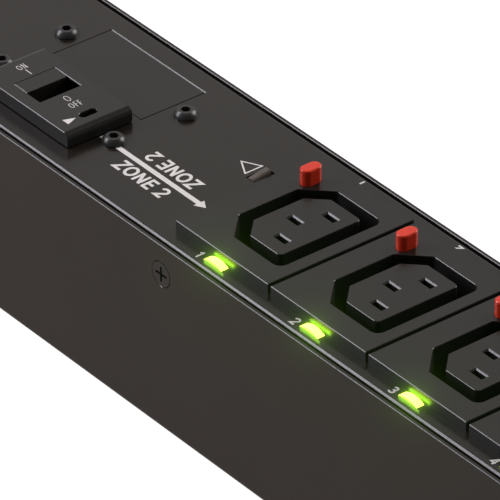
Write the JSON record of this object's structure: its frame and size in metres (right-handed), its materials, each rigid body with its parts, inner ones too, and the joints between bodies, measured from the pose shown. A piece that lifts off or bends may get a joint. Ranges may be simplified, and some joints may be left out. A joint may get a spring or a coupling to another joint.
{
  "type": "rack power distribution unit",
  "caption": "Slim horizontal rack power strip: folded steel channel with flush-core outlets, release buttons, lit number indicators, a guarded breaker toggle and a cord gland.",
  "frame": {"origin": "centre of the bounding box's bottom, on the flat back face", "axes": "+X along the strip from the gland end to the plain end, +Y across it, +Z out of the outlet face"},
  "size_m": [0.389, 0.0566, 0.0585],
  "materials": {
    "painted_steel": "fine satin powder coat",
    "guard_plastic": "fine satin grain",
    "panel_plastic": "fine satin grain",
    "handle_plastic": "satin",
    "black_plastic": "matte",
    "outlet_plastic": "fine grain",
    "core_plastic": "fine grain",
    "red_plastic": "semi-gloss",
    "lens": "clear, lit from behind",
    "spring_steel": "drawn wire",
    "zinc_steel": "bright zinc",
    "black_steel": "black oxide",
    "brass": "plain",
    "board": "solder mask",
    "latch_plastic": "natural nylon",
    "black_nylon": "matte",
    "black_rubber": "matte",
    "terminal_plastic": "matte",
    "line_insulation": "smooth",
    "neutral_insulation": "smooth",
    "earth_insulation": "smooth",
    "white_ink": "screen print"
  },
  "bodies": {
    "housing": {"chassis": "painted_steel", "cover_plate": "painted_steel", "end_cap_left": "painted_steel", "end_cap_right": "painted_steel", "gland_body": "black_nylon", "gland_locknut": "black_nylon", "gland_seal": "black_rubber", "gland_dome_nut": "black_nylon", "blank_panel": "panel_plastic", "breaker_bracket": "zinc_steel", "breaker_guard": "guard_plastic", "breaker_body": "black_plastic", "handle_pin": "zinc_steel", "breaker_terminals": "brass", "carrier_latch": "latch_plastic", "outlet_carrier": "black_plastic", "line_bus": "brass", "neutral_bus": "brass", "earth_bus": "brass", "led_board": "board", "terminal_block": "terminal_plastic", "line_wire": "line_insulation", "load_wire": "line_insulation", "neutral_wire": "neutral_insulation", "earth_wire": "earth_insulation", "side_screws": "black_steel", "bracket_screws": "zinc_steel", "cover_nuts": "zinc_steel", "mounting_nuts": "zinc_steel", "outlet_frame_1": "outlet_plastic", "outlet_core_1": "core_plastic", "button_spring_1": "spring_steel", "led_lens_1": "lens", "outlet_frame_2": "outlet_plastic", "outlet_core_2": "core_plastic", "button_spring_2": "spring_steel", "led_lens_2": "lens", "outlet_frame_3": "outlet_plastic", "outlet_core_3": "core_plastic", "button_spring_3": "spring_steel", "led_lens_3": "lens", "outlet_frame_4": "outlet_plastic", "outlet_core_4": "core_plastic", "button_spring_4": "spring_steel", "led_lens_4": "lens", "outlet_frame_5": "outlet_plastic", "outlet_core_5": "core_plastic", "button_spring_5": "spring_steel", "led_lens_5": "lens", "outlet_frame_6": "outlet_plastic", "outlet_core_6": "core_plastic", "button_spring_6": "spring_steel", "led_lens_6": "lens"},
    "button_1": {"release_button_1": "red_plastic"},
    "button_2": {"release_button_2": "red_plastic"},
    "button_3": {"release_button_3": "red_plastic"},
    "button_4": {"release_button_4": "red_plastic"},
    "button_5": {"release_button_5": "red_plastic"},
    "button_6": {"release_button_6": "red_plastic"},
    "toggle": {"breaker_handle": "handle_plastic"}
  },
  "joints": [
    {"name": "button_1_press", "type": "slide", "parent": "housing", "child": "button_1", "axis": [0, 0, -1], "range_m": [0, 0.002], "stiffness_N_per_m": 600, "springref_m": -0.002, "deforming": ["button_spring_1"]},
    {"name": "button_2_press", "type": "slide", "parent": "housing", "child": "button_2", "axis": [0, 0, -1], "range_m": [0, 0.002], "stiffness_N_per_m": 600, "springref_m": -0.002, "deforming": ["button_spring_2"]},
    {"name": "button_3_press", "type": "slide", "parent": "housing", "child": "button_3", "axis": [0, 0, -1], "range_m": [0, 0.002], "stiffness_N_per_m": 600, "springref_m": -0.002, "deforming": ["button_spring_3"]},
    {"name": "button_4_press", "type": "slide", "parent": "housing", "child": "button_4", "axis": [0, 0, -1], "range_m": [0, 0.002], "stiffness_N_per_m": 600, "springref_m": -0.002, "deforming": ["button_spring_4"]},
    {"name": "button_5_press", "type": "slide", "parent": "housing", "child": "button_5", "axis": [0, 0, -1], "range_m": [0, 0.002], "stiffness_N_per_m": 600, "springref_m": -0.002, "deforming": ["button_spring_5"]},
    {"name": "button_6_press", "type": "slide", "parent": "housing", "child": "button_6", "axis": [0, 0, -1], "range_m": [0, 0.002], "stiffness_N_per_m": 600, "springref_m": -0.002, "deforming": ["button_spring_6"]},
    {"name": "toggle_swing", "type": "hinge", "parent": "housing", "child": "toggle", "pos_m": [-0.10334, -0.0105, 0.04075], "axis": [0, 1, 0], "range_deg": [0, 20]}
  ]
}
